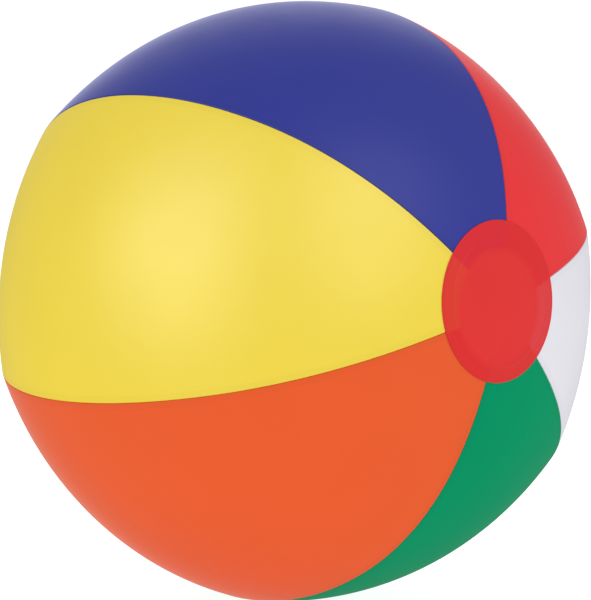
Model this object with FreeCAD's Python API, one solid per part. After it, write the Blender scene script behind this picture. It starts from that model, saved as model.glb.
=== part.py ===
import FreeCAD, Part
import math
import os

# Inflatable beach ball, 40 cm size, six PVC gores with two welded end caps and an inflation valve.
# All lengths are in millimetres.  The origin is the centre of the ball and +Z is up.
# The polar axis, through both end caps, is X: the plain cap is at +X and the valve cap at -X.
# Azimuth runs round the X axis from +Y towards +Z.

# Inflated shape
BALL_R = 131.0            # centre of a panel, at the equator
POLE_FLATTENING = 0.055   # how much nearer the poles are, as a share of BALL_R
POLE_POWER = 6.5          # how suddenly the flattening sets in towards a pole
SEAM_RISE = 0.022         # how far a seam stands proud of the panel centres, as a share of the radius
RISE_START = 18.0         # degrees from a pole where a seam starts to stand proud
RISE_FULL = 60.0          # degrees from a pole where it has its full rise

# Panels
FILM = 0.25               # PVC film thickness
TIP_HOLE_R = 24.5         # radius of the hole that the gore tips leave at each pole
LIP_DEPTH = 3.0           # weld lip inside each seam
LIP_TIP_DEPTH = 1.0       # the same lip where it is pressed flat under an end cap
LIP_FULL = 30.0           # degrees from a pole where the lip has its full depth
FIRST_SEAM = 18.5         # azimuth of the seam between white and red, in degrees
SEAM_SPACING = 60.0
SEAM_GAP = 0.05           # from the middle of a seam to the face of each lip
# Each seam lies a little off the even spacing, as hand-fed welding leaves it (degrees).
SEAM_LEAN = (0.2, -0.4, -0.6, -1.0, 0.6, 1.0)
PANELS = ("red", "blue", "yellow", "orange", "green", "white")

# End caps
CAP_R = 34.6
CAP_FILM = 0.3
CAP_GAP = 0.1                   # between a cap and the gore tips under it
FRONT_CAP_SHIFT = (1.2, 2.4)    # Y and Z offset of the plain cap from the polar axis
REAR_CAP_SHIFT = (-0.8, 1.0)    # Y and Z offset of the valve cap
CAP_HOLE_R = 8.0                # valve hole in the rear cap
BLANK_MARGIN = 4.0              # what the blank that a cap or the flange is cut from has to spare

# Valve.  Heights are measured outwards from the rear cap's outer surface on the polar axis.
FLANGE_R = 14.0
FLANGE_BORE_R = 7.6
FLANGE_THICK = 0.8
SKIRT_TOP_HEIGHT = -0.6
SKIRT_TOP_R = 7.55
SKIRT_FOOT_R = 5.2
SKIRT_WALL = 0.35
SKIRT_FOOT_HEIGHT = -9.7
STEM_RIM_R = 5.1
STEM_RIM_DEPTH = 1.2
STEM_RIM_UNDERCUT = 0.4   # height of the slope from the rim down to the tube
STEM_R = 4.7
STEM_FOOT_R = 5.2
STEM_FOOT_LENGTH = 3.6
STEM_FOOT_SLOPE = 0.5     # height of the slope from the tube out to the foot
STEM_CHAMFER = 0.3
STEM_TOP = 1.1
STEM_BOTTOM = -12.6
SEAT_R = 3.1              # upper bore, which the plug closes
SEAT_DEPTH = 6.2
SEAT_LEAD_IN = 0.25
SEAT_STEP = 0.2           # height of the slope from the seat down to the socket
SOCKET_R = 2.75           # lower bore, which a pump nozzle fits
STRAP_WIDTH = 5.0
STRAP_THICK = 0.8
STRAP_WAIST = 3.2         # width where the strap folds
WAIST_START = 2.6         # distance from the fold where the strap starts to narrow
WAIST_FULL = 1.2          # distance from the fold where it has its waist width
STRAP_TIP_OVERLAP = 0.6   # how far the tip leaf runs in before it is hollowed for the plug's head
FOLD_REACH = 12.0         # distance of the fold from the valve axis
FOLD_GAP = 0.3            # between the two leaves of the folded strap
PLUG_HEAD_R = 4.8
PLUG_HEAD_THICK = 1.2
PLUG_CHAMFER = 0.4
PLUG_COLLAR_R = 3.05
PLUG_COLLAR_DEPTH = 0.9
PLUG_COLLAR_SLOPE = 0.5   # height of the slope from the collar down to the shank
PLUG_SHANK_R = 2.8
PLUG_TIP_R = 1.85
PLUG_DEPTH = 5.8
FLAP_R = 4.4
FLAP_THICK = 0.5
FLAP_GAP = 0.3
FLAP_HINGE_REACH = 5.0
FLAP_TAB_WIDTH = 2.6
FLAP_TAB_OVERLAP = 1.0    # how far the tab runs onto the disc
LUG_LENGTH = 0.9
LUG_INNER_REACH = 4.7

# Surface grids
ROWS = 61                 # stations along a gore
COLUMNS = 15              # stations across a gore
STATION_EASE = 0.08       # how much closer together the stations are at a gore's tips
DOME_STATIONS = 17        # stations each way across a domed blank
FIT_TOLERANCE = 1e-3      # of a surface to its grid of points
SEW_TOLERANCE = 1e-3

X_AXIS = FreeCAD.Vector(1, 0, 0)
ORIGIN = FreeCAD.Vector(0, 0, 0)


def smooth_step(value, low, high):
    share = min(max((value - low) / (high - low), 0.0), 1.0)
    return share * share * (3.0 - 2.0 * share)


def from_nearer_pole(polar):
    return min(polar, math.pi - polar)


def panel_radius(polar):
    """Distance from the centre of the ball to the middle of a panel."""
    return BALL_R * (1.0 - POLE_FLATTENING * abs(math.cos(polar)) ** POLE_POWER)


def film_radius(polar, across):
    """The same, anywhere on a panel: across runs from -1 at one seam to 1 at the other."""
    rise = SEAM_RISE * smooth_step(math.degrees(from_nearer_pole(polar)), RISE_START, RISE_FULL)
    return panel_radius(polar) * (1.0 + rise * across * across)


def ball_point(radius, polar, azimuth):
    ring = radius * math.sin(polar)
    return FreeCAD.Vector(radius * math.cos(polar), ring * math.cos(azimuth), ring * math.sin(azimuth))


def seam_azimuth(index):
    lean = SEAM_LEAN[index % len(SEAM_LEAN)]
    return math.radians(FIRST_SEAM + SEAM_SPACING * index + lean)


def lip_depth(polar):
    full = smooth_step(math.degrees(from_nearer_pole(polar)), tip_degrees(), LIP_FULL)
    return LIP_TIP_DEPTH + (LIP_DEPTH - LIP_TIP_DEPTH) * full


def tip_degrees():
    return math.degrees(math.asin(TIP_HOLE_R / panel_radius(0.0)))


def gore_stations():
    """Polar angles along a gore, closer together towards the tips."""
    start = math.radians(tip_degrees())
    stations = []
    for row in range(ROWS):
        share = row / (ROWS - 1.0)
        eased = share - STATION_EASE * math.sin(2.0 * math.pi * share) / math.pi
        stations.append(start + eased * (math.pi - 2.0 * start))
    return stations


def curve_through(points):
    curve = Part.BSplineCurve()
    curve.interpolate(points)
    return curve.toShape()


def surface_through(rows):
    surface = Part.BSplineSurface()
    surface.approximate(
        Points=rows, DegMin=3, DegMax=5, Continuity=2, Tolerance=FIT_TOLERANCE, ParamType="ChordLength")
    return surface


def corner(edge, end):
    return edge.valueAt(edge.FirstParameter if end == 0 else edge.LastParameter)


def gore_span(index):
    """Azimuth of the middle of a gore, and half the angle between its seams."""
    low = seam_azimuth(index)
    high = seam_azimuth(index + 1)
    if index == len(PANELS) - 1:
        high = seam_azimuth(0) + 2.0 * math.pi
    return (high + low) / 2.0, (high - low) / 2.0


def edge_share(polar, half_span, inset):
    """Where across a gore the outer (inset 0) or inner (inset FILM) face of its lip stands."""
    return 1.0 - (SEAM_GAP + inset) / (panel_radius(polar) * math.sin(polar) * half_span)


def film_rows(middle, half_span, inset):
    """Grid of points on the outer (inset 0) or inner (inset FILM) face of a gore's film."""
    rows = []
    for polar in gore_stations():
        edge = edge_share(polar, half_span, inset)
        row = []
        for column in range(COLUMNS):
            across = edge * (2.0 * column / (COLUMNS - 1.0) - 1.0)
            radius = film_radius(polar, across) - inset
            row.append(ball_point(radius, polar, middle + across * half_span))
        rows.append(row)
    return rows


def lip_foot(middle, half_span, side, inset):
    """Free edge of the outer or inner face of the lip along one seam."""
    points = []
    for polar in gore_stations():
        across = side * edge_share(polar, half_span, inset)
        radius = film_radius(polar, side) - lip_depth(polar)
        points.append(ball_point(radius, polar, middle + across * half_span))
    return curve_through(points)


def panel_solid(index):
    """One gore: film with a weld lip turned inwards along each seam."""
    middle, half_span = gore_span(index)
    outer = surface_through(film_rows(middle, half_span, 0.0))
    inner = surface_through(film_rows(middle, half_span, FILM))
    faces = [outer.toShape(), inner.toShape()]
    for end in (0, 1):
        faces.append(Part.makeRuledSurface(tip_edge(outer, end), tip_edge(inner, end)))
    for side in (-1.0, 1.0):
        seam_foot = lip_foot(middle, half_span, side, 0.0)
        inner_foot = lip_foot(middle, half_span, side, FILM)
        faces += lip_faces(side_edge(outer, side), seam_foot, inner_foot, side_edge(inner, side))
    return closed_solid(faces)


def lip_faces(outer_edge, seam_foot, inner_foot, inner_edge):
    """Both faces of a lip, its foot, and its two ends at the gore's tips."""
    chain = (outer_edge, seam_foot, inner_foot, inner_edge)
    faces = [Part.makeRuledSurface(first, second) for first, second in zip(chain, chain[1:])]
    for end in (0, 1):
        top = Part.makeLine(corner(outer_edge, end), corner(inner_edge, end))
        foot = Part.makeLine(corner(seam_foot, end), corner(inner_foot, end))
        faces.append(Part.makeRuledSurface(top, foot))
    return faces


def side_edge(surface, side):
    """Edge of a gore's film along the seam at its low (side -1) or high (side 1) azimuth."""
    first, last, low, high = surface.bounds()
    return surface.vIso(high if side > 0.0 else low).toShape(first, last)


def tip_edge(surface, end):
    """Edge of a gore's film at its first or last station."""
    first, last, low, high = surface.bounds()
    return surface.uIso(last if end else first).toShape(low, high)


def closed_solid(faces):
    shell = Part.makeShell(faces)
    shell.sewShape(SEW_TOLERANCE)
    solid = Part.makeSolid(Part.Shell(shell.Faces))
    if solid.Volume < 0.0:
        solid.reverse()
    return solid


def dome_surface(reach, lift):
    """A square patch that follows the ball over the +X pole, at an offset from the film's surface."""
    rows = []
    for row in range(DOME_STATIONS):
        y = reach * (2.0 * row / (DOME_STATIONS - 1.0) - 1.0)
        points = []
        for column in range(DOME_STATIONS):
            z = reach * (2.0 * column / (DOME_STATIONS - 1.0) - 1.0)
            polar = math.asin(math.hypot(y, z) / BALL_R)
            points.append(ball_point(panel_radius(polar) + lift, polar, math.atan2(z, y)))
        rows.append(points)
    return surface_through(rows)


def domed_blank(reach, lower, upper):
    """A square plate between two offsets from the film's surface, to cut a cap or the flange from."""
    bottom = dome_surface(reach, lower)
    top = dome_surface(reach, upper)
    faces = [bottom.toShape(), top.toShape()]
    for low, high in zip(patch_edges(bottom), patch_edges(top)):
        faces.append(Part.makeRuledSurface(low, high))
    return closed_solid(faces)


def patch_edges(surface):
    return [side_edge(surface, -1.0), side_edge(surface, 1.0), tip_edge(surface, 0), tip_edge(surface, 1)]


def polar_cylinder(radius, shift=(0.0, 0.0)):
    """A long cylinder along +X from the centre of the ball."""
    return Part.makeCylinder(radius, 2.0 * BALL_R, FreeCAD.Vector(0, shift[0], shift[1]), X_AXIS)


def end_cap(shift):
    blank = domed_blank(CAP_R + BLANK_MARGIN, CAP_GAP, CAP_GAP + CAP_FILM)
    return blank.common(polar_cylinder(CAP_R, shift))


def to_rear(shape):
    """Turn a shape built at the +X pole round to the -X pole, keeping +Z up."""
    turned = shape.copy()
    turned.rotate(ORIGIN, FreeCAD.Vector(0, 0, 1), 180.0)
    return turned


def valve_x(height):
    """X of a height above the rear cap, as built at the +X pole."""
    return panel_radius(0.0) + CAP_GAP + CAP_FILM + height


def turned_part(outline):
    """Solid of revolution about X from (radius, height) corners."""
    points = [FreeCAD.Vector(valve_x(height), radius, 0.0) for radius, height in outline]
    face = Part.Face(Part.makePolygon(points + points[:1]))
    return face.revolve(ORIGIN, X_AXIS, 360.0)


def flange():
    blank = domed_blank(FLANGE_R + BLANK_MARGIN, -FLANGE_THICK, 0.0)
    ring = blank.common(polar_cylinder(FLANGE_R))
    return ring.cut(polar_cylinder(FLANGE_BORE_R))


def skirt():
    return turned_part((
        (SKIRT_TOP_R - SKIRT_WALL, SKIRT_TOP_HEIGHT),
        (SKIRT_TOP_R, SKIRT_TOP_HEIGHT),
        (SKIRT_FOOT_R + SKIRT_WALL, SKIRT_FOOT_HEIGHT),
        (SKIRT_FOOT_R, SKIRT_FOOT_HEIGHT),
    ))


def stem():
    foot_top = STEM_BOTTOM + STEM_FOOT_LENGTH
    seat_bottom = STEM_TOP - SEAT_DEPTH
    body = turned_part((
        (SEAT_R + SEAT_LEAD_IN, STEM_TOP),
        (STEM_RIM_R - STEM_CHAMFER, STEM_TOP),
        (STEM_RIM_R, STEM_TOP - STEM_CHAMFER),
        (STEM_RIM_R, STEM_TOP - STEM_RIM_DEPTH),
        (STEM_R, STEM_TOP - STEM_RIM_DEPTH - STEM_RIM_UNDERCUT),
        (STEM_R, foot_top + STEM_FOOT_SLOPE),
        (STEM_FOOT_R, foot_top),
        (STEM_FOOT_R, STEM_BOTTOM + STEM_CHAMFER),
        (STEM_FOOT_R - STEM_CHAMFER, STEM_BOTTOM),
        (SOCKET_R, STEM_BOTTOM),
        (SOCKET_R, seat_bottom - SEAT_STEP),
        (SEAT_R, seat_bottom),
        (SEAT_R, STEM_TOP - SEAT_LEAD_IN),
    ))
    return body.fuse(flap_lug()).removeSplitter()


def flap_lug():
    """Small lug at the stem's foot that the check flap hangs from."""
    lug = Part.makeBox(LUG_LENGTH, FLAP_TAB_WIDTH, LUG_LENGTH)
    lug.translate(FreeCAD.Vector(valve_x(STEM_BOTTOM), -FLAP_TAB_WIDTH / 2.0, LUG_INNER_REACH))
    return lug


def strap_outline(inner_reach):
    """Strap seen along the valve axis: a tongue from inner_reach to the fold, narrower at the fold."""
    half = STRAP_WIDTH / 2.0
    waist = STRAP_WAIST / 2.0
    return (
        (-half, -inner_reach),
        (half, -inner_reach),
        (half, WAIST_START - FOLD_REACH),
        (waist, WAIST_FULL - FOLD_REACH),
        (waist, -FOLD_REACH),
        (-waist, -FOLD_REACH),
        (-waist, WAIST_FULL - FOLD_REACH),
        (-half, WAIST_START - FOLD_REACH),
    )


def strap_leaf(inner_reach, bottom, bore_r):
    """One flat leaf of the strap, hollowed to sit against the round part that it grows from."""
    points = [FreeCAD.Vector(valve_x(bottom), side, reach) for side, reach in strap_outline(inner_reach)]
    leaf = Part.Face(Part.makePolygon(points + points[:1])).extrude(FreeCAD.Vector(STRAP_THICK, 0, 0))
    return leaf.cut(polar_cylinder(bore_r))


def plug():
    underside = STEM_TOP + FOLD_GAP
    crown = underside + PLUG_HEAD_THICK
    return turned_part((
        (0.0, crown),
        (PLUG_HEAD_R - PLUG_CHAMFER, crown),
        (PLUG_HEAD_R, crown - PLUG_CHAMFER),
        (PLUG_HEAD_R, underside),
        (PLUG_COLLAR_R, underside),
        (PLUG_COLLAR_R, underside - PLUG_COLLAR_DEPTH),
        (PLUG_SHANK_R, underside - PLUG_COLLAR_DEPTH - PLUG_COLLAR_SLOPE),
        (PLUG_TIP_R, underside - PLUG_DEPTH),
        (0.0, underside - PLUG_DEPTH),
    ))


def check_flap():
    top = STEM_BOTTOM - FLAP_GAP
    bottom = top - FLAP_THICK
    disc = turned_part(((0.0, top), (FLAP_R, top), (FLAP_R, bottom), (0.0, bottom)))
    tab_foot = FLAP_R - FLAP_TAB_OVERLAP
    tab = Part.makeBox(FLAP_THICK, FLAP_TAB_WIDTH, FLAP_HINGE_REACH - tab_foot)
    tab.translate(FreeCAD.Vector(valve_x(bottom), -FLAP_TAB_WIDTH / 2.0, tab_foot))
    axis_start = FreeCAD.Vector(valve_x(bottom + FLAP_THICK / 2.0), -FLAP_TAB_WIDTH / 2.0, FLAP_HINGE_REACH)
    barrel = Part.makeCylinder(FLAP_THICK / 2.0, FLAP_TAB_WIDTH, axis_start, FreeCAD.Vector(0, 1, 0))
    return disc.fuse([tab, barrel]).removeSplitter()


def build_parts():
    parts = {}
    for index, colour in enumerate(PANELS):
        parts["panel_" + colour] = panel_solid(index)
    parts["end_cap_front"] = end_cap(FRONT_CAP_SHIFT)
    mirrored_shift = (-REAR_CAP_SHIFT[0], REAR_CAP_SHIFT[1])
    rear_parts = {
        "end_cap_rear": end_cap(mirrored_shift).cut(polar_cylinder(CAP_HOLE_R)),
        "valve_flange": flange(),
        "valve_skirt": skirt(),
        "valve_stem": stem(),
        "valve_strap_root": strap_leaf(STEM_R, STEM_TOP - STRAP_THICK, STEM_RIM_R),
        "valve_strap_tip": strap_leaf(PLUG_HEAD_R - STRAP_TIP_OVERLAP, STEM_TOP + FOLD_GAP, PLUG_HEAD_R),
        "valve_plug": plug(),
        "check_flap": check_flap(),
    }
    for name, shape in rear_parts.items():
        parts[name] = to_rear(shape)
    return parts


os.makedirs("parts", exist_ok=True)
for name, shape in build_parts().items():
    shape.exportStep(os.path.join("parts", name + ".step"))
    box = shape.BoundBox
    print("%-18s valid=%s solids=%d volume=%.1f x %.2f..%.2f y %.2f..%.2f z %.2f..%.2f" % (
        name, shape.isValid(), len(shape.Solids), shape.Volume,
        box.XMin, box.XMax, box.YMin, box.YMax, box.ZMin, box.ZMax))
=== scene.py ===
import math

import bmesh
import bpy
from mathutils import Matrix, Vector, noise

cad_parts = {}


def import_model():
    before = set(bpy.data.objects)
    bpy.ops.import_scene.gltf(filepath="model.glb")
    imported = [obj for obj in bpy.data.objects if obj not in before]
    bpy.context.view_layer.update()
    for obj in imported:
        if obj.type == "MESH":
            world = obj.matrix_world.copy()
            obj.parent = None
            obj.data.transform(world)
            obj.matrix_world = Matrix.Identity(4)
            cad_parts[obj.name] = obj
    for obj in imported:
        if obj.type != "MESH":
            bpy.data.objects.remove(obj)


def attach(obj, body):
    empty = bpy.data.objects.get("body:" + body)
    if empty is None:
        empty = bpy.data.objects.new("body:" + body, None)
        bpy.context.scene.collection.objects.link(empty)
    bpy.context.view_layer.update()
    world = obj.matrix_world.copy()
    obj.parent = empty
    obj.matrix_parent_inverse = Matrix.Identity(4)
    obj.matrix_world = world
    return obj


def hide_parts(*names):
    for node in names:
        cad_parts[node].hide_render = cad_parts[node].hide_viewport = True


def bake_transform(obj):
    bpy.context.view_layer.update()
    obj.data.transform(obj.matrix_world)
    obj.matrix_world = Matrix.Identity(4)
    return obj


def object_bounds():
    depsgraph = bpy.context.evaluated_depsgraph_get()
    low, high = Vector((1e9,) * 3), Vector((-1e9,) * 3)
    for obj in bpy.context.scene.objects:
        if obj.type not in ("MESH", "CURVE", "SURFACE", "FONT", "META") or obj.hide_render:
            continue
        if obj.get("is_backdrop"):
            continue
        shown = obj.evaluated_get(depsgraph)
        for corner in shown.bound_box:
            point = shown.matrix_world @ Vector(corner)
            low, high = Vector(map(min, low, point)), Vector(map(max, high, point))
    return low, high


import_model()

# Inflated beach ball.  Metres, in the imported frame: the centre of the ball is the origin, and the
# polar axis is X, with the plain cap at +X and the valve cap at -X.  Azimuth runs round X from +Y
# towards +Z.
MM = 0.001
CAD_LOW, CAD_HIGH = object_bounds()

# -------------------------------------------------------------- shape of the ball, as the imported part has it
BALL_R = 131.0 * MM
POLE_FLATTENING = 0.055
POLE_POWER = 6.5
SEAM_RISE = 0.022
RISE_START = 18.0          # degrees from the pole
RISE_FULL = 60.0
FIRST_SEAM = 18.5
SEAM_SPACING = 60.0
SEAM_LEAN = (0.2, -0.4, -0.6, -1.0, 0.6, 1.0)   # degrees of each seam off its even place
PANELS = ("red", "blue", "yellow", "orange", "green", "white")
TIP_HOLE_R = 24.5 * MM
FILM = 0.25 * MM

# Seams
WELD_GAP = 0.015 * MM      # from the middle of a seam to each of its two lips
SEAM_ROUND = 0.55 * MM     # radius with which the film turns in to its lip
SEAM_ROUND_STEPS = 6
LIP_ROWS = (1.2 * MM, SEAM_ROUND + 0.1 * MM)      # drops of a lip's points above its foot, away from the tips
LIP_DEPTH = 3.0 * MM
LIP_TIP_DEPTH = 1.0 * MM
LIP_FULL = 30.0            # degrees from the pole at which a lip has its full depth

# Unevenness of the film: waves to a metre, and their height
WIDE_WAVES = 14.0
WIDE_WAVE_HEIGHT = 0.16 * MM
SHORT_WAVES = 75.0
SHORT_WAVE_HEIGHT = 0.05 * MM
SHORT_WAVE_REACH = 9.0 * MM      # how far from a seam the short waves die away
SEAM_STILLNESS = 12.0 * MM       # how far from a seam the wide waves are held down
WAVE_ONSET = 8.0                 # degrees past RISE_START over which the waves set in

# Caps
CAP_R = 34.6 * MM
CAP_RISE = 0.4 * MM        # height of a cap's outer surface above the gores
CAP_FILM = 0.14 * MM       # thin enough for the edge to stay clear of the gores
CAP_EDGE_RISE = 0.16 * MM
CAP_EDGE_INSET = 0.12 * MM
CAP_SHIFT = {"front": (1.2 * MM, 2.4 * MM), "rear": (-0.8 * MM, 1.0 * MM)}
CAP_HOLE_R = 8.0 * MM
WELD_IN = 28.6 * MM        # inner edge of the pressed ring that welds a cap to the gores
WELD_OUT = 34.0 * MM
WELD_PRESS = 0.12 * MM
BEAD_HEIGHT = 0.09 * MM    # bead that the weld pushes up inside its inner edge
BEAD_INSET = 0.9 * MM
BEAD_WIDTH = 0.5 * MM
RIM_HEIGHT = 0.05 * MM
RIM_WIDTH = 0.35 * MM
CAP_SAG = 0.14 * MM        # how far a cap sinks into the hole that the gore tips leave
FLANGE_PRESS = 0.07 * MM   # depth of the groove where the valve flange is welded under the rear cap
FLANGE_WELD_IN = (9.2 * MM, 9.7 * MM)        # the groove's inner wall
FLANGE_WELD_OUT = (12.9 * MM, 13.4 * MM)     # and its outer one

# -------------------------------------------------------------- mesh density
GORE_ROWS = 190
GORE_COLUMNS = 30          # on each half of a gore, between the edge and the middle
SEAM_COLUMNS = (0.8, 1.2, 1.8, 2.6, 3.6, 5.0)     # millimetres from the seam, before the even columns
CAP_SEGMENTS = 240
CAP_STEP = 0.7 * MM        # between the rings of a cap, where it is plain
CAP_FINE_STEP = 0.2 * MM
LATHE_SEGMENTS = 96

# -------------------------------------------------------------- colours, linear
COLOURS = {
    "red": (0.735, 0.027, 0.031),
    "blue": (0.015, 0.024, 0.272),
    "yellow": (0.785, 0.600, 0.008),
    "orange": (0.715, 0.092, 0.018),
    "green": (0.000, 0.255, 0.108),
    "white": (0.70, 0.69, 0.745),
    "cap": (0.67, 0.027, 0.025),
    "cap over gores": (0.645, 0.018, 0.021),
    # darker red of the pressed weld ring, also used as painted shade along the cap's rim
    "cap weld and rim shade": (0.63, 0.020, 0.021),
    "valve": (0.63, 0.64, 0.66),
}
# Strength of each film's reflection, and of the pale bloom where it turns away from the eye
GLOSS = {"red": 0.12, "blue": 0.30, "yellow": 0.72, "orange": 0.12, "green": 0.02, "white": 0.30, "cap": 0.12}
BLOOM = {"red": 0.17, "blue": 0.58, "yellow": 0.02, "orange": 0.32, "green": 0.02, "white": 0.05, "cap": 0.00}
BLOOM_TINT = 0.40          # how much of its own colour a film's bloom takes
BLOOM_ROUGHNESS = 0.25
FILM_ROUGHNESS = 0.46
CAP_ROUGHNESS = 0.40
FILM_IOR = 1.53
VALVE_GLOSS = 0.5
VALVE_ROUGHNESS = 0.38
VALVE_IOR = 1.52
NOISE_RANGE = (0.3, 0.7)   # values that a noise texture mostly keeps to
FILM_MOTTLING_SCALE = 22.0
CAP_MOTTLING_SCALE = 40.0
VALVE_MOTTLING_SCALE = 260.0
ROUGHNESS_CLOUD_SCALE = 38.0
GRAIN_SCALE = 900.0
FILM_MOTTLING = (0.985, 1.012)      # darkest and palest shares of a film's colour
VALVE_MOTTLING = (0.93, 1.0)
LIP_SHADE = 0.93           # share of its colour that the film keeps over a weld lip
LIP_SHADE_WEIGHT = 0.5
LIP_SHADE_EDGE = (2.4, 3.4)         # millimetres from the seam over which that shade ends
ROUGHNESS_CLOUD = 0.03     # unevenness of the roughness, either way
ROUGHNESS_GRAIN = 0.015
PEEL_STRENGTH = 0.25       # orange peel of the film
PEEL_DEPTH = 0.03 * MM
TIP_TINT = 0.034           # how much of the gore tips' colour shows through a cap
TIP_EDGE = 1.6 * MM        # softness of the edge of that tint, either way
TIP_WOBBLE = 3.0 * MM      # how far that edge wanders, end to end of the noise
FLANGE_TINT = 0.07         # how much of the valve flange's colour shows through the rear cap
FLANGE_EDGE = 0.3 * MM
WELD_SHARE = 0.2           # how far the cap's colour goes over to the weld's in the pressed ring
RIM_SHADE_SHARE = 0.35           # and how much further at the rim, as painted shade along the cap's edge


# ================================================================ the ball's formula
def smooth_step(value, low, high):
    share = min(max((value - low) / (high - low), 0.0), 1.0)
    return share * share * (3.0 - 2.0 * share)


def degrees_from_pole(polar):
    return math.degrees(min(polar, math.pi - polar))


def panel_radius(polar):
    return BALL_R * (1.0 - POLE_FLATTENING * abs(math.cos(polar)) ** POLE_POWER)


def film_radius(polar, across):
    rise = SEAM_RISE * smooth_step(degrees_from_pole(polar), RISE_START, RISE_FULL)
    return panel_radius(polar) * (1.0 + rise * across * across)


def ball_point(radius, polar, azimuth):
    ring = radius * math.sin(polar)
    return Vector((radius * math.cos(polar), ring * math.cos(azimuth), ring * math.sin(azimuth)))


def seam_azimuth(index):
    turns, number = divmod(index, len(SEAM_LEAN))
    degrees = FIRST_SEAM + SEAM_SPACING * number + SEAM_LEAN[number] + 360.0 * turns
    return math.radians(degrees)


POLE_R = panel_radius(0.0)
TIP_POLAR = math.asin(TIP_HOLE_R / POLE_R)


def lip_depth(polar):
    full = smooth_step(degrees_from_pole(polar), math.degrees(TIP_POLAR), LIP_FULL)
    return LIP_TIP_DEPTH + (LIP_DEPTH - LIP_TIP_DEPTH) * full


# ================================================================ mesh helpers
def new_object(name, points, faces, smooth=True):
    mesh = bpy.data.meshes.new(name)
    mesh.from_pydata([tuple(point) for point in points], [], faces)
    mesh.polygons.foreach_set("use_smooth", [smooth] * len(faces))
    mesh.update()
    obj = bpy.data.objects.new(name, mesh)
    bpy.context.scene.collection.objects.link(obj)
    return obj


def face_outwards(obj):
    work = bmesh.new()
    work.from_mesh(obj.data)
    bmesh.ops.recalc_face_normals(work, faces=work.faces)
    work.to_mesh(obj.data)
    work.free()


def sheet_faces(rows, columns, closed=False):
    """Faces of a grid of points; a closed one joins the end of each row to its start."""
    faces = []
    for row in range(rows - 1):
        base = row * columns
        above = base + columns
        for column in range(columns if closed else columns - 1):
            after = (column + 1) % columns
            faces.append((base + column, base + after, above + after, above + column))
    return faces


def add_float_attribute(obj, name, values):
    layer = obj.data.attributes.new(name, "FLOAT", "POINT")
    layer.data.foreach_set("value", values)


def finish_piece(obj, material, body, node):
    obj.data.materials.append(material)
    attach(obj, body)
    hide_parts(node)


def thicken(obj, thickness):
    """Give an outer surface its film thickness, inwards, and close the edges between the two skins."""
    work = bmesh.new()
    work.from_mesh(obj.data)
    skin = list(work.faces)
    rim = [edge for edge in work.edges if edge.is_boundary]
    twins = {}
    for vertex in list(work.verts):
        twins[vertex] = work.verts.new(vertex.co - vertex.normal * thickness, vertex)
    for face in skin:
        inner = work.faces.new([twins[vertex] for vertex in reversed(face.verts)])
        inner.smooth = True
    for edge in rim:
        first, second = rim_order(edge)
        work.faces.new((second, first, twins[first], twins[second]))
    work.to_mesh(obj.data)
    work.free()


def rim_order(edge):
    """The ends of an edge in the order that its one face uses them."""
    loop = edge.link_loops[0]
    return loop.vert, loop.link_loop_next.vert


# ================================================================ gores
def seam_profile(polar):
    """(Distance from the seam, drop below the film) pairs, from the foot of a weld lip to the open film."""
    profile = [(WELD_GAP, lip_depth(polar))]
    for drop in LIP_ROWS:
        profile.append((WELD_GAP, drop))
    for step in range(SEAM_ROUND_STEPS + 1):
        angle = math.pi / 2.0 * step / SEAM_ROUND_STEPS
        distance = WELD_GAP + SEAM_ROUND * (1.0 - math.cos(angle))
        profile.append((distance, SEAM_ROUND * (1.0 - math.sin(angle))))
    for distance in SEAM_COLUMNS:
        profile.append((distance * MM, 0.0))
    return profile


def gore_row(polar, half_width):
    """(Place across, from -1 to 1, and drop below the film) pairs, from one seam to the other."""
    row = [(distance / half_width, drop) for distance, drop in seam_profile(polar)]
    last = row[-1][0]
    for column in range(1, GORE_COLUMNS + 1):
        row.append((last + (1.0 - last) * column / GORE_COLUMNS, 0.0))
    row = [(-1.0 + inset, drop) for inset, drop in row]
    return row + [(-across, drop) for across, drop in reversed(row[:-1])]


def tension(point, seam_distance):
    """Slight unevenness of the film: long soft waves, and short ones where the seam gathers it."""
    wide = noise.noise(point * WIDE_WAVES) * WIDE_WAVE_HEIGHT
    fine = noise.noise(point * SHORT_WAVES) * SHORT_WAVE_HEIGHT * math.exp(-seam_distance / SHORT_WAVE_REACH)
    edge = smooth_step(seam_distance, 0.0, SEAM_STILLNESS)
    return wide * edge + fine


def panel(index, colour):
    low, high = seam_azimuth(index), seam_azimuth(index + 1)
    middle, half_span = (low + high) / 2.0, (high - low) / 2.0
    points, distances = [], []
    for row in range(GORE_ROWS):
        share = row / (GORE_ROWS - 1.0)
        polar = TIP_POLAR + (math.pi - 2.0 * TIP_POLAR) * share
        half_width = panel_radius(polar) * math.sin(polar) * half_span
        past_cap = smooth_step(degrees_from_pole(polar), RISE_START, RISE_START + WAVE_ONSET)
        for across, drop in gore_row(polar, half_width):
            seam_distance = (1.0 - abs(across)) * half_width
            radius = film_radius(polar, across) - drop
            place = ball_point(radius, polar, middle + across * half_span)
            swell = tension(place, seam_distance) * past_cap
            points.append(place * (1.0 + swell / radius))
            distances.append(seam_distance / MM)
    columns = len(points) // GORE_ROWS
    obj = new_object("panel_%s_film" % colour, points, sheet_faces(GORE_ROWS, columns))
    face_away_from_centre(obj)
    add_float_attribute(obj, "seam_distance", distances)
    thicken(obj, FILM)
    finish_piece(obj, film_material(colour), "ball", "panel_" + colour)


def face_away_from_centre(obj):
    middle = obj.data.polygons[len(obj.data.polygons) // 2]
    if middle.normal.dot(middle.center) < 0.0:
        obj.data.flip_normals()


# ================================================================ end caps
def polar_at(ring):
    """Polar angle of the film's surface at a distance from the polar axis."""
    angle = math.asin(ring / POLE_R)
    for _ in range(4):
        angle = math.asin(ring / panel_radius(angle))
    return angle


def surface_height(ring):
    """Distance along the polar axis of the film's surface, at a distance from that axis."""
    angle = polar_at(ring)
    return panel_radius(angle) * math.cos(angle)


def ridge(distance, width):
    return math.exp(-(distance / width) ** 2)


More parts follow.
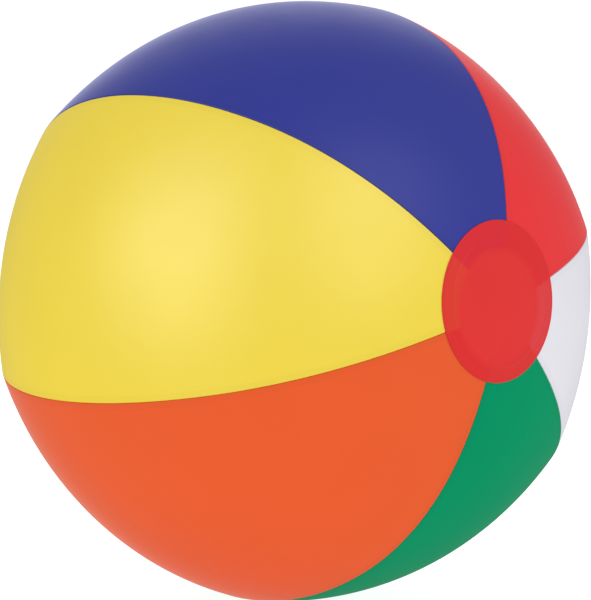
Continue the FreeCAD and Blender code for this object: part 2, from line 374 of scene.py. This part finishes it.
def cap_lift(from_centre, ring):
    """Height of a cap's outer surface above the gores' surface."""
    pressed = smooth_step(from_centre, WELD_IN - 0.5 * MM, WELD_IN + 0.3 * MM)
    bead = ridge(from_centre - WELD_IN + BEAD_INSET, BEAD_WIDTH)
    sag = 1.0 - smooth_step(ring, TIP_HOLE_R - 2.0 * MM, TIP_HOLE_R + 1.0 * MM)
    rim = ridge(from_centre - WELD_OUT, RIM_WIDTH)
    return CAP_RISE - WELD_PRESS * pressed + BEAD_HEIGHT * bead - CAP_SAG * sag + RIM_HEIGHT * rim


def flange_weld(ring):
    """Share of the groove pressed into the rear cap where the valve flange is welded under it."""
    return smooth_step(ring, *FLANGE_WELD_IN) - smooth_step(ring, *FLANGE_WELD_OUT)


def cap_rings(inner):
    """Distances from a cap's centre, closer together where the surface has detail."""
    rings = []
    ring = inner
    while ring < CAP_R - 0.02 * MM:
        rings.append(ring)
        fine = ring > WELD_IN - 6.0 * MM or ring < inner + 6.5 * MM
        ring += CAP_FINE_STEP if fine else CAP_STEP
    rings.append(CAP_R - CAP_EDGE_INSET)
    return rings


def cap_ring_points(end, from_centre, at_edge):
    """One ring of a cap.  At its edge the film ends close to the gores."""
    side = 1.0 if end == "front" else -1.0
    shift_y, shift_z = CAP_SHIFT[end]
    growth = smooth_step(from_centre, CAP_HOLE_R, CAP_R) if end == "rear" else 1.0
    points = []
    for segment in range(CAP_SEGMENTS):
        angle = 2.0 * math.pi * segment / CAP_SEGMENTS
        y = from_centre * math.cos(angle) + shift_y * growth
        z = from_centre * math.sin(angle) + shift_z * growth
        ring = math.hypot(y, z)
        lift = cap_lift(from_centre, ring)
        if end == "rear":
            lift -= FLANGE_PRESS * flange_weld(ring)
        if at_edge:
            lift = CAP_EDGE_RISE
        points.append(Vector((side * (surface_height(ring) + lift), y, z)))
    return points


def cap(end):
    """The front cap runs in to its centre, and the rear one stops at the hole for the valve."""
    rings = cap_rings(CAP_STEP if end == "front" else CAP_HOLE_R)
    points, centre_distances = [], []
    for number, from_centre in enumerate(rings):
        points += cap_ring_points(end, from_centre, number == len(rings) - 1)
        centre_distances += [from_centre / MM] * CAP_SEGMENTS
    faces = sheet_faces(len(rings), CAP_SEGMENTS, closed=True)
    if end == "front":
        points.append(Vector((surface_height(0.0) + cap_lift(0.0, 0.0), *CAP_SHIFT[end])))
        centre_distances.append(0.0)
        for segment in range(CAP_SEGMENTS):
            faces.append((len(points) - 1, (segment + 1) % CAP_SEGMENTS, segment))
    obj = new_object("end_cap_%s_film" % end, points, faces)
    face_away_from_centre(obj)
    add_float_attribute(obj, "from_centre", centre_distances)
    thicken(obj, CAP_FILM)
    finish_piece(obj, cap_material(end), "ball", "end_cap_" + end)


# ================================================================ valve
# Millimetres here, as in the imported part.  Heights are outwards from VALVE_BASE, which is where the
# rear cap's outer surface would meet the polar axis if it didn't sag.
FLANGE_R = 14.0
FLANGE_BORE_R = 7.6
FLANGE_THICK = 0.8
FLANGE_CLEARANCE = 0.02    # below the gores' surface
SKIRT_TOP_R = 7.55
SKIRT_TOP_HEIGHT = -0.6
SKIRT_FOOT_R = 5.2
SKIRT_FOOT_HEIGHT = -9.7
SKIRT_WALL = 0.35
SKIRT_BULGE = 0.35
SKIRT_STEPS = 16
STEM_TOP = 1.1
STEM_BOTTOM = -12.6
STEM_R = 4.7
STEM_RIM_R = 5.1
STEM_RIB_R = 4.9
STEM_FOOT_R = 5.2
SOCKET_R = 2.75            # lower bore, for the pump
SEAT_R = 3.1               # upper bore, which the plug closes
LUG_HALF_WIDTH = 1.3
LUG_SPAN = (4.75, 5.6)     # distances from the valve axis between which the flap's lug lies
LUG_HEIGHT = 0.85
PLUG_HEAD_R = 4.8
PLUG_HEAD_THICK = 1.2
PLUG_COLLAR_R = 3.05
PLUG_LENGTH = 5.8          # below the head
FOLD_REACH = 12.0          # distance of the strap's fold from the valve axis
FOLD_HEIGHT = 1.25
FOLD_GAP = 0.3             # between the two leaves of the folded strap
FOLD_STEPS = 12
LEAF_STEPS = 14
ROOT_REACH = 4.6           # where the strap starts on the stem
TIP_REACH = 4.2            # and where it ends on the plug
STRAP_THICK = 0.8
STRAP_WIDTH = 5.0
STRAP_WAIST = 3.2
STRAP_EDGE = 0.12          # roundness of the strap's edges, as a share of its half width
STRAP_EDGE_STEPS = 6
FLAP_R = 4.4
FLAP_THICK = 0.5
FLAP_GAP = 0.3             # between the stem and the flap
FLAP_TAB_REACH = 5.25
FLAP_STEPS = 40
PLATE_ROUND = 0.12
VALVE_BASE = POLE_R + CAP_RISE       # metres


def valve_x(height):
    return -(VALVE_BASE + height * MM)


def rounded_outline(outline, radius, steps=4):
    """Replace each corner of a closed (radius, height) outline with a short arc, except on the axis."""
    result = []
    count = len(outline)
    for index in range(count):
        corner = Vector(outline[index])
        before = Vector(outline[index - 1]) - corner
        after = Vector(outline[(index + 1) % count]) - corner
        if corner.x < 1e-6:
            result.append(corner)
            continue
        reach = min(radius, before.length * 0.45, after.length * 0.45)
        start = corner + before.normalized() * reach
        end = corner + after.normalized() * reach
        for step in range(steps + 1):
            t = step / steps
            result.append(start * (1 - t) ** 2 + corner * 2 * t * (1 - t) + end * t * t)
    return result


def lathe(name, outline, corner_radius):
    """Turn a closed (radius, height) outline round the valve axis."""
    profile = rounded_outline(outline, corner_radius)
    points = []
    for segment in range(LATHE_SEGMENTS):
        angle = 2.0 * math.pi * segment / LATHE_SEGMENTS
        for place in profile:
            ring = place.x * MM
            points.append(Vector((valve_x(place.y), ring * math.cos(angle), ring * math.sin(angle))))
    count = len(profile)
    faces = sheet_faces(LATHE_SEGMENTS, count, closed=True)
    last = (LATHE_SEGMENTS - 1) * count
    for index in range(count):
        after = (index + 1) % count
        faces.append((last + index, last + after, after, index))
    obj = new_object(name, points, faces)
    join_on_axis(obj)
    return obj


def join_on_axis(obj):
    """Join the points that a turned outline repeats where it meets the axis."""
    work = bmesh.new()
    work.from_mesh(obj.data)
    bmesh.ops.remove_doubles(work, verts=work.verts, dist=1e-7)
    bmesh.ops.dissolve_degenerate(work, dist=1e-8, edges=work.edges)
    bmesh.ops.recalc_face_normals(work, faces=work.faces)
    work.to_mesh(obj.data)
    work.free()


def flange(material):
    outline = []
    for ring in (FLANGE_BORE_R, 9.0, 10.5, 12.0, 13.2, FLANGE_R):
        outline.append((ring, flange_height(ring)))
    for ring in (FLANGE_R, 12.0, 9.6, FLANGE_BORE_R):
        outline.append((ring, flange_height(ring) - FLANGE_THICK))
    obj = lathe("valve_flange_disc", outline, corner_radius=0.2)
    finish_piece(obj, material, "ball", "valve_flange")


def flange_height(ring):
    return (surface_height(ring * MM) - VALVE_BASE) / MM - FLANGE_CLEARANCE


def skirt(material):
    obj = lathe("valve_skirt_cone", skirt_outline(), corner_radius=0.1)
    obj.data.materials.append(material)
    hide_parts("valve_skirt")
    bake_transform(obj)


def skirt_outline():
    """Thin cone from the flange down to the stem's foot, bulging a little between them."""
    outer, inner = [], []
    for step in range(SKIRT_STEPS + 1):
        t = step / SKIRT_STEPS
        bulge = SKIRT_BULGE * math.sin(math.pi * t)
        ring = SKIRT_TOP_R + (SKIRT_FOOT_R - SKIRT_TOP_R) * t + bulge
        height = SKIRT_TOP_HEIGHT + (SKIRT_FOOT_HEIGHT - SKIRT_TOP_HEIGHT) * t
        outer.append((ring, height))
        inner.append((ring - SKIRT_WALL, height))
    return outer + inner[::-1]


def stem(material):
    obj = lathe("valve_stem_tube", stem_outline(), corner_radius=0.18)
    finish_piece(obj, material, "stem", "valve_stem")
    near, far = LUG_SPAN
    outline = (
        (-LUG_HALF_WIDTH, near), (LUG_HALF_WIDTH, near), (LUG_HALF_WIDTH, far), (-LUG_HALF_WIDTH, far),
    )
    lug = plate("stem_flap_lug", outline, (valve_x(STEM_BOTTOM + 0.1), valve_x(STEM_BOTTOM - LUG_HEIGHT)))
    finish_piece(lug, material, "stem", "valve_stem")


def stem_outline():
    """Down the outside from the rim, past a thin rib, to the foot, and up the two bores."""
    return (
        (3.35, STEM_TOP), (4.8, STEM_TOP), (STEM_RIM_R, STEM_TOP - 0.3), (STEM_RIM_R, STEM_TOP - 1.2),
        (STEM_R, STEM_TOP - 1.6), (STEM_R, -2.6), (STEM_RIB_R, -2.8), (STEM_RIB_R, -3.2), (STEM_R, -3.4),
        (STEM_R, -8.5), (STEM_FOOT_R, -9.0), (STEM_FOOT_R, -12.3), (4.9, STEM_BOTTOM),
        (SOCKET_R, STEM_BOTTOM), (SOCKET_R, -5.3), (SEAT_R, -5.1), (SEAT_R, 0.85),
    )


def plate(name, outline, xs):
    """A flat piece across the valve axis: a (y, z) outline between two X places, which are in metres."""
    points = [Vector((x, y * MM, z * MM)) for x in xs for y, z in outline]
    count = len(outline)
    faces = [tuple(range(count)), tuple(range(2 * count - 1, count - 1, -1))]
    for index in range(count):
        after = (index + 1) % count
        faces.append((index, after, count + after, count + index))
    obj = new_object(name, points, faces)
    face_outwards(obj)
    rounding = obj.modifiers.new("moulded edge", "BEVEL")
    rounding.width = PLATE_ROUND * MM
    rounding.segments = 3
    rounding.limit_method = "ANGLE"
    return obj


def plug(material):
    """A slightly dished head, a collar for the seat and a long taper into the pump's socket."""
    under = STEM_TOP + FOLD_GAP
    crown = under + PLUG_HEAD_THICK
    foot = under - PLUG_LENGTH
    outline = (
        (0.0, crown - 0.15), (1.9, crown - 0.12), (2.3, crown), (4.4, crown), (PLUG_HEAD_R, crown - 0.4),
        (PLUG_HEAD_R, under), (PLUG_COLLAR_R, under), (PLUG_COLLAR_R, under - 0.9), (2.8, under - 1.4),
        (1.85, under - 5.6), (1.6, foot), (0.0, foot),
    )
    obj = lathe("valve_plug_head", outline, corner_radius=0.2)
    finish_piece(obj, material, "plug", "valve_plug")


def strap_path():
    """Middle line of the folded strap: (reach from the valve axis, height), out to the fold and back."""
    bend = FOLD_HEIGHT - (STEM_TOP - STRAP_THICK / 2.0)
    path = []
    for step in range(LEAF_STEPS + 1):
        path.append((ROOT_REACH + (FOLD_REACH - ROOT_REACH) * step / LEAF_STEPS, FOLD_HEIGHT - bend))
    for step in range(1, FOLD_STEPS):
        angle = -math.pi / 2.0 + math.pi * step / FOLD_STEPS
        path.append((FOLD_REACH + bend * math.cos(angle), FOLD_HEIGHT + bend * math.sin(angle)))
    for step in range(LEAF_STEPS + 1):
        path.append((FOLD_REACH + (TIP_REACH - FOLD_REACH) * step / LEAF_STEPS, FOLD_HEIGHT + bend))
    return [Vector(place) for place in path]


def strap_points(path, section):
    """The strap's section carried along its path, narrowed to the waist at the fold."""
    points = []
    for index, place in enumerate(path):
        before = path[max(index - 1, 0)]
        after = path[min(index + 1, len(path) - 1)]
        along = (after - before).normalized()
        outwards = Vector((along.y, -along.x))
        narrow = smooth_step(place.x, FOLD_REACH - 3.0, FOLD_REACH - 0.8)
        half = (STRAP_WIDTH + (STRAP_WAIST - STRAP_WIDTH) * narrow) / 2.0
        for side, lift in section:
            spot = place + outwards * lift * STRAP_THICK / 2.0
            points.append(Vector((valve_x(spot.y), side * half * MM, -spot.x * MM)))
    return points


def strap(material):
    """One tongue from the stem's rim to the plug's head, folded over at its waist."""
    path = strap_path()
    section = strap_section()
    points = strap_points(path, section)
    count = len(section)
    faces = [tuple(range(count)), tuple(range(len(points) - 1, len(points) - count - 1, -1))]
    faces += sheet_faces(len(path), count, closed=True)
    obj = new_object("valve_strap_tongue", points, faces)
    face_outwards(obj)
    obj.data.materials.append(material)
    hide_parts("valve_strap_root", "valve_strap_tip")
    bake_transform(obj)


def strap_section():
    """Section of the strap, in half widths and half thicknesses: flat faces with rounded edges."""
    section = []
    for side, start in ((1.0, -90.0), (-1.0, 90.0)):
        for step in range(STRAP_EDGE_STEPS + 1):
            angle = math.radians(start + 180.0 * step / STRAP_EDGE_STEPS)
            section.append((side * (1.0 - STRAP_EDGE) + STRAP_EDGE * math.cos(angle), math.sin(angle)))
    return section


def check_flap(material):
    """Disc under the pump's socket, with a straight tab out to its lug."""
    top = STEM_BOTTOM - FLAP_GAP
    outline = []
    start = math.asin(LUG_HALF_WIDTH / FLAP_R)
    for step in range(FLAP_STEPS + 1):
        angle = math.pi / 2.0 + start + (2.0 * math.pi - 2.0 * start) * step / FLAP_STEPS
        outline.append((FLAP_R * math.cos(angle), FLAP_R * math.sin(angle)))
    outline += [(LUG_HALF_WIDTH, FLAP_TAB_REACH), (-LUG_HALF_WIDTH, FLAP_TAB_REACH)]
    obj = plate("check_flap_disc", outline, (valve_x(top), valve_x(top - FLAP_THICK)))
    finish_piece(obj, material, "flap", "check_flap")


# ================================================================ materials
def shader_material(name):
    material = bpy.data.materials.new(name)
    material.use_nodes = True
    return material, material.node_tree, material.node_tree.nodes["Principled BSDF"]


def add_node(tree, kind, **settings):
    node = tree.nodes.new(kind)
    for name, value in settings.items():
        setattr(node, name, value)
    return node


def feed(tree, socket, value):
    """Set a socket to a colour or a number, or link another node's output to it."""
    if isinstance(value, tuple):
        socket.default_value = (*value, 1.0)
    elif isinstance(value, (int, float)):
        socket.default_value = value
    else:
        tree.links.new(value, socket)


def math_node(tree, operation, first, second=None):
    node = add_node(tree, "ShaderNodeMath", operation=operation)
    feed(tree, node.inputs[0], first)
    if second is not None:
        feed(tree, node.inputs[1], second)
    return node.outputs[0]


def noise_value(tree, coordinates, scale, detail=3.0):
    node = add_node(tree, "ShaderNodeTexNoise")
    node.inputs["Scale"].default_value = scale
    node.inputs["Detail"].default_value = detail
    tree.links.new(coordinates, node.inputs["Vector"])
    return node.outputs["Fac"]


def mapped(tree, value, low, high, to_low, to_high):
    node = add_node(tree, "ShaderNodeMapRange")
    tree.links.new(value, node.inputs["Value"])
    node.inputs["From Min"].default_value = low
    node.inputs["From Max"].default_value = high
    node.inputs["To Min"].default_value = to_low
    node.inputs["To Max"].default_value = to_high
    return node.outputs["Result"]


def mixed_colour(tree, share, first, second):
    node = add_node(tree, "ShaderNodeMix", data_type="RGBA")
    for number, value in ((0, share), (6, first), (7, second)):
        feed(tree, node.inputs[number], value)
    return node.outputs[2]


def scaled(colour, share):
    return tuple(min(channel * share, 1.0) for channel in colour)


def bloom_colour(colour):
    strongest = max(colour)
    return tuple(1.0 - BLOOM_TINT * (1.0 - channel / strongest) for channel in colour)


def film_gloss(tree, shader, coordinates, roughness, film):
    """Semi-gloss calendered film."""
    shader.inputs["IOR"].default_value = FILM_IOR
    shader.inputs["Specular IOR Level"].default_value = GLOSS[film]
    shader.inputs["Sheen Weight"].default_value = BLOOM[film]
    shader.inputs["Sheen Roughness"].default_value = BLOOM_ROUGHNESS
    shader.inputs["Sheen Tint"].default_value = (*bloom_colour(COLOURS[film]), 1.0)
    fine_surface(tree, shader, coordinates, roughness)


def fine_surface(tree, shader, coordinates, roughness):
    """A little unevenness in roughness, with a very fine orange peel."""
    cloud = noise_value(tree, coordinates, ROUGHNESS_CLOUD_SCALE)
    fine = noise_value(tree, coordinates, GRAIN_SCALE, detail=2.0)
    drift = mapped(tree, cloud, *NOISE_RANGE, -ROUGHNESS_CLOUD, ROUGHNESS_CLOUD)
    grain = mapped(tree, fine, *NOISE_RANGE, -ROUGHNESS_GRAIN, ROUGHNESS_GRAIN)
    uneven = math_node(tree, "ADD", drift, roughness)
    tree.links.new(math_node(tree, "ADD", uneven, grain), shader.inputs["Roughness"])
    peel = add_node(tree, "ShaderNodeBump")
    peel.inputs["Strength"].default_value = PEEL_STRENGTH
    peel.inputs["Distance"].default_value = PEEL_DEPTH
    tree.links.new(fine, peel.inputs["Height"])
    tree.links.new(peel.outputs["Normal"], shader.inputs["Normal"])


def mottled(tree, cloud, colour, shares):
    """A colour that drifts between two shares of itself with a noise texture."""
    darkest, palest = shares
    share = mapped(tree, cloud, *NOISE_RANGE, 0.0, 1.0)
    return mixed_colour(tree, share, scaled(colour, darkest), scaled(colour, palest))


def film_material(colour):
    """Gore film, a shade darker over its weld lips."""
    material, tree, shader = shader_material("pvc_film_" + colour)
    base = COLOURS[colour]
    coordinates = add_node(tree, "ShaderNodeTexCoord").outputs["Object"]
    cloud = noise_value(tree, coordinates, FILM_MOTTLING_SCALE)
    pigment = mottled(tree, cloud, base, FILM_MOTTLING)
    distance = add_node(tree, "ShaderNodeAttribute", attribute_name="seam_distance").outputs["Fac"]
    lip = mapped(tree, distance, *LIP_SHADE_EDGE, 1.0, 0.0)
    shade = math_node(tree, "MULTIPLY", lip, LIP_SHADE_WEIGHT)
    doubled = mixed_colour(tree, shade, pigment, scaled(base, LIP_SHADE))
    tree.links.new(doubled, shader.inputs["Base Color"])
    film_gloss(tree, shader, coordinates, FILM_ROUGHNESS, colour)
    return material


def cap_material(end):
    """Slightly see-through red film: the gore tips and the valve flange tint it from beneath."""
    material, tree, shader = shader_material("pvc_cap_" + end)
    coordinates = add_node(tree, "ShaderNodeTexCoord").outputs["Object"]
    split = add_node(tree, "ShaderNodeSeparateXYZ")
    tree.links.new(coordinates, split.inputs[0])
    ring = axis_distance(tree, split)
    cloud = noise_value(tree, coordinates, CAP_MOTTLING_SCALE)
    pigment = mottled(tree, cloud, COLOURS["cap"], FILM_MOTTLING)
    tinted = over_gore_tips(tree, split, ring, cloud, pigment)
    if end == "rear":
        edge = FLANGE_R * MM
        over_flange = mapped(tree, ring, edge - FLANGE_EDGE, edge + FLANGE_EDGE, FLANGE_TINT, 0.0)
        tinted = mixed_colour(tree, over_flange, tinted, COLOURS["valve"])
    # the weld ring's own colour, plus painted shade along the cap's rim
    coloured = mixed_colour(tree, weld_colour_and_rim_shade(tree), tinted, COLOURS["cap weld and rim shade"])
    tree.links.new(coloured, shader.inputs["Base Color"])
    film_gloss(tree, shader, coordinates, CAP_ROUGHNESS, "cap")
    return material


def axis_distance(tree, split):
    """Distance of the shaded point from the polar axis."""
    y_squared = math_node(tree, "MULTIPLY", split.outputs[1], split.outputs[1])
    z_squared = math_node(tree, "MULTIPLY", split.outputs[2], split.outputs[2])
    return math_node(tree, "SQRT", math_node(tree, "ADD", y_squared, z_squared))


def over_gore_tips(tree, split, ring, cloud, pigment):
    """The cap's colour, deeper and tinted where the gore tips lie under it."""
    tips = gore_tips_colour(tree, split)
    wobble = math_node(tree, "MULTIPLY", math_node(tree, "SUBTRACT", cloud, 0.5), TIP_WOBBLE)
    wobbly_ring = math_node(tree, "ADD", ring, wobble)
    over_tips = mapped(tree, wobbly_ring, TIP_HOLE_R - TIP_EDGE, TIP_HOLE_R + TIP_EDGE, 0.0, 1.0)
    doubled = mixed_colour(tree, TIP_TINT, COLOURS["cap over gores"], tips)
    return mixed_colour(tree, over_tips, pigment, doubled)


def weld_colour_and_rim_shade(tree):
    """How far the cap's colour goes over to the weld's darker red: some in the pressed ring, as the weld's own
    colour, and more at the rim, as painted shade along the cap's edge.
    """
    from_centre = add_node(tree, "ShaderNodeAttribute", attribute_name="from_centre").outputs["Fac"]
    pressed = mapped(tree, from_centre, WELD_IN / MM - 0.2, WELD_IN / MM + 0.6, 0.0, WELD_SHARE)
    # painted shade: a band along the cap's edge goes darker towards the weld red
    rim = mapped(tree, from_centre, WELD_OUT / MM - 1.2, WELD_OUT / MM - 0.4, 0.0, RIM_SHADE_SHARE)
    return math_node(tree, "ADD", pressed, rim)


def gore_tips_colour(tree, split):
    """The gore colours in six sectors round the polar axis."""
    azimuth = math_node(tree, "ARCTAN2", split.outputs[2], split.outputs[1])
    turned = math_node(tree, "SUBTRACT", azimuth, math.radians(FIRST_SEAM))
    share = math_node(tree, "FRACT", math_node(tree, "DIVIDE", turned, 2.0 * math.pi))
    ramp = add_node(tree, "ShaderNodeValToRGB")
    ramp.color_ramp.interpolation = "CONSTANT"
    stops = ramp.color_ramp.elements
    stops[0].position = 0.0
    stops[1].position = 1.0 / len(PANELS)
    for index in range(2, len(PANELS)):
        stops.new(index / len(PANELS))
    for index, colour in enumerate(PANELS):
        stops[index].color = (*COLOURS[colour], 1.0)
    tree.links.new(share, ramp.inputs[0])
    return ramp.outputs[0]


def valve_material():
    """Soft milky PVC moulding, shared by every piece of the valve."""
    material, tree, shader = shader_material("pvc_valve")
    coordinates = add_node(tree, "ShaderNodeTexCoord").outputs["Object"]
    cloud = noise_value(tree, coordinates, VALVE_MOTTLING_SCALE)
    tree.links.new(mottled(tree, cloud, COLOURS["valve"], VALVE_MOTTLING), shader.inputs["Base Color"])
    shader.inputs["IOR"].default_value = VALVE_IOR
    shader.inputs["Specular IOR Level"].default_value = VALVE_GLOSS
    fine_surface(tree, shader, coordinates, VALVE_ROUGHNESS)
    return material


# ================================================================ stage
CAMERA_AZIMUTH = 45.6
CAMERA_ELEVATION = 2.0
CAMERA_DISTANCE = 14.0 * BALL_R
CAMERA_LENS = 248.6
CAMERA_SENSOR = 36.0
CAMERA_CLIP = (0.05, 60.0)
FLOOR_HALF_SIZE = 12.0
FLOOR_ROUGHNESS = 0.9
FLOOR_WHITE = 0.35
FLOOR_GLOW = 0.90          # the floor is a lit white table
ROOM_LIGHT = 1.05          # the white room, as soft light on the ball
ROOM_REFLECTION = 0.34     # the white room, as the film's gloss shows it
BACKDROP = 1.0             # the white room, as it looks behind the ball
WHITE = (1.0, 1.0, 1.0, 1.0)
SOFT_BOX_DISTANCE = 1.8
SOFT_BOX_SIZE = 1.7
# Name, azimuth from the camera, elevation and watts
SOFT_BOXES = (
    ("left soft box", -46.0, 20.0, 19.0),
    ("right soft box", 38.0, 29.0, 14.5),
    ("rear soft box", 180.0, 28.0, 5.0),
)


def direction(azimuth, elevation):
    across = math.cos(math.radians(elevation))
    return Vector((
        math.sin(math.radians(azimuth)) * across,
        -math.cos(math.radians(azimuth)) * across,
        math.sin(math.radians(elevation)),
    ))


def stand_off(obj, towards, distance):
    """Put an object in a direction from the ball's centre, looking back at it."""
    obj.location = towards * distance
    obj.rotation_mode = "QUATERNION"
    obj.rotation_quaternion = (-towards).to_track_quat("-Z", "Y")


def camera():
    data = bpy.data.cameras.new("camera")
    data.lens = CAMERA_LENS
    data.sensor_width = CAMERA_SENSOR
    data.clip_start, data.clip_end = CAMERA_CLIP
    obj = bpy.data.objects.new("camera", data)
    bpy.context.scene.collection.objects.link(obj)
    stand_off(obj, direction(CAMERA_AZIMUTH, CAMERA_ELEVATION), CAMERA_DISTANCE)
    bpy.context.scene.camera = obj


def floor(height):
    corners = ((-1.0, -1.0), (1.0, -1.0), (1.0, 1.0), (-1.0, 1.0))
    points = [(x * FLOOR_HALF_SIZE, y * FLOOR_HALF_SIZE, height) for x, y in corners]
    obj = new_object("floor", points, [(0, 1, 2, 3)], smooth=False)
    material, tree, shader = shader_material("white_floor")
    shader.inputs["Base Color"].default_value = (FLOOR_WHITE, FLOOR_WHITE, FLOOR_WHITE, 1.0)
    shader.inputs["Roughness"].default_value = FLOOR_ROUGHNESS
    shader.inputs["Specular IOR Level"].default_value = 0.0
    shader.inputs["Emission Color"].default_value = WHITE
    shader.inputs["Emission Strength"].default_value = FLOOR_GLOW
    obj.data.materials.append(material)
    obj.visible_glossy = False
    obj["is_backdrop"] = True


def soft_box(name, azimuth, elevation, power):
    """A large round light that shows only as a highlight, since the white room lights the ball."""
    data = bpy.data.lights.new(name, "AREA")
    data.shape = "DISK"
    data.size = SOFT_BOX_SIZE
    data.energy = power
    obj = bpy.data.objects.new(name, data)
    bpy.context.scene.collection.objects.link(obj)
    stand_off(obj, direction(CAMERA_AZIMUTH + azimuth, elevation), SOFT_BOX_DISTANCE)
    obj.visible_diffuse = False
    obj.visible_camera = False
    obj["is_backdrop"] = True


def world():
    made = bpy.data.worlds.new("studio")
    bpy.context.scene.world = made
    made.use_nodes = True
    tree = made.node_tree
    background = tree.nodes["Background"]
    background.inputs["Color"].default_value = WHITE
    path = add_node(tree, "ShaderNodeLightPath")
    room = mapped(tree, path.outputs["Is Glossy Ray"], 0.0, 1.0, ROOM_LIGHT, ROOM_REFLECTION)
    backdrop = math_node(tree, "MULTIPLY", path.outputs["Is Camera Ray"], BACKDROP)
    tree.links.new(math_node(tree, "MAXIMUM", room, backdrop), background.inputs["Strength"])


# ================================================================ build
for number, colour in enumerate(PANELS):
    panel(number, colour)
cap("front")
cap("rear")
milky_pvc = valve_material()
for build_piece in (flange, skirt, stem, plug, strap, check_flap):
    build_piece(milky_pvc)

camera()
floor(min(CAD_LOW.z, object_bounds()[0].z))
world()
for name, azimuth, elevation, power in SOFT_BOXES:
    soft_box(name, azimuth, elevation, power)
bpy.context.scene.view_settings.view_transform = "Standard"
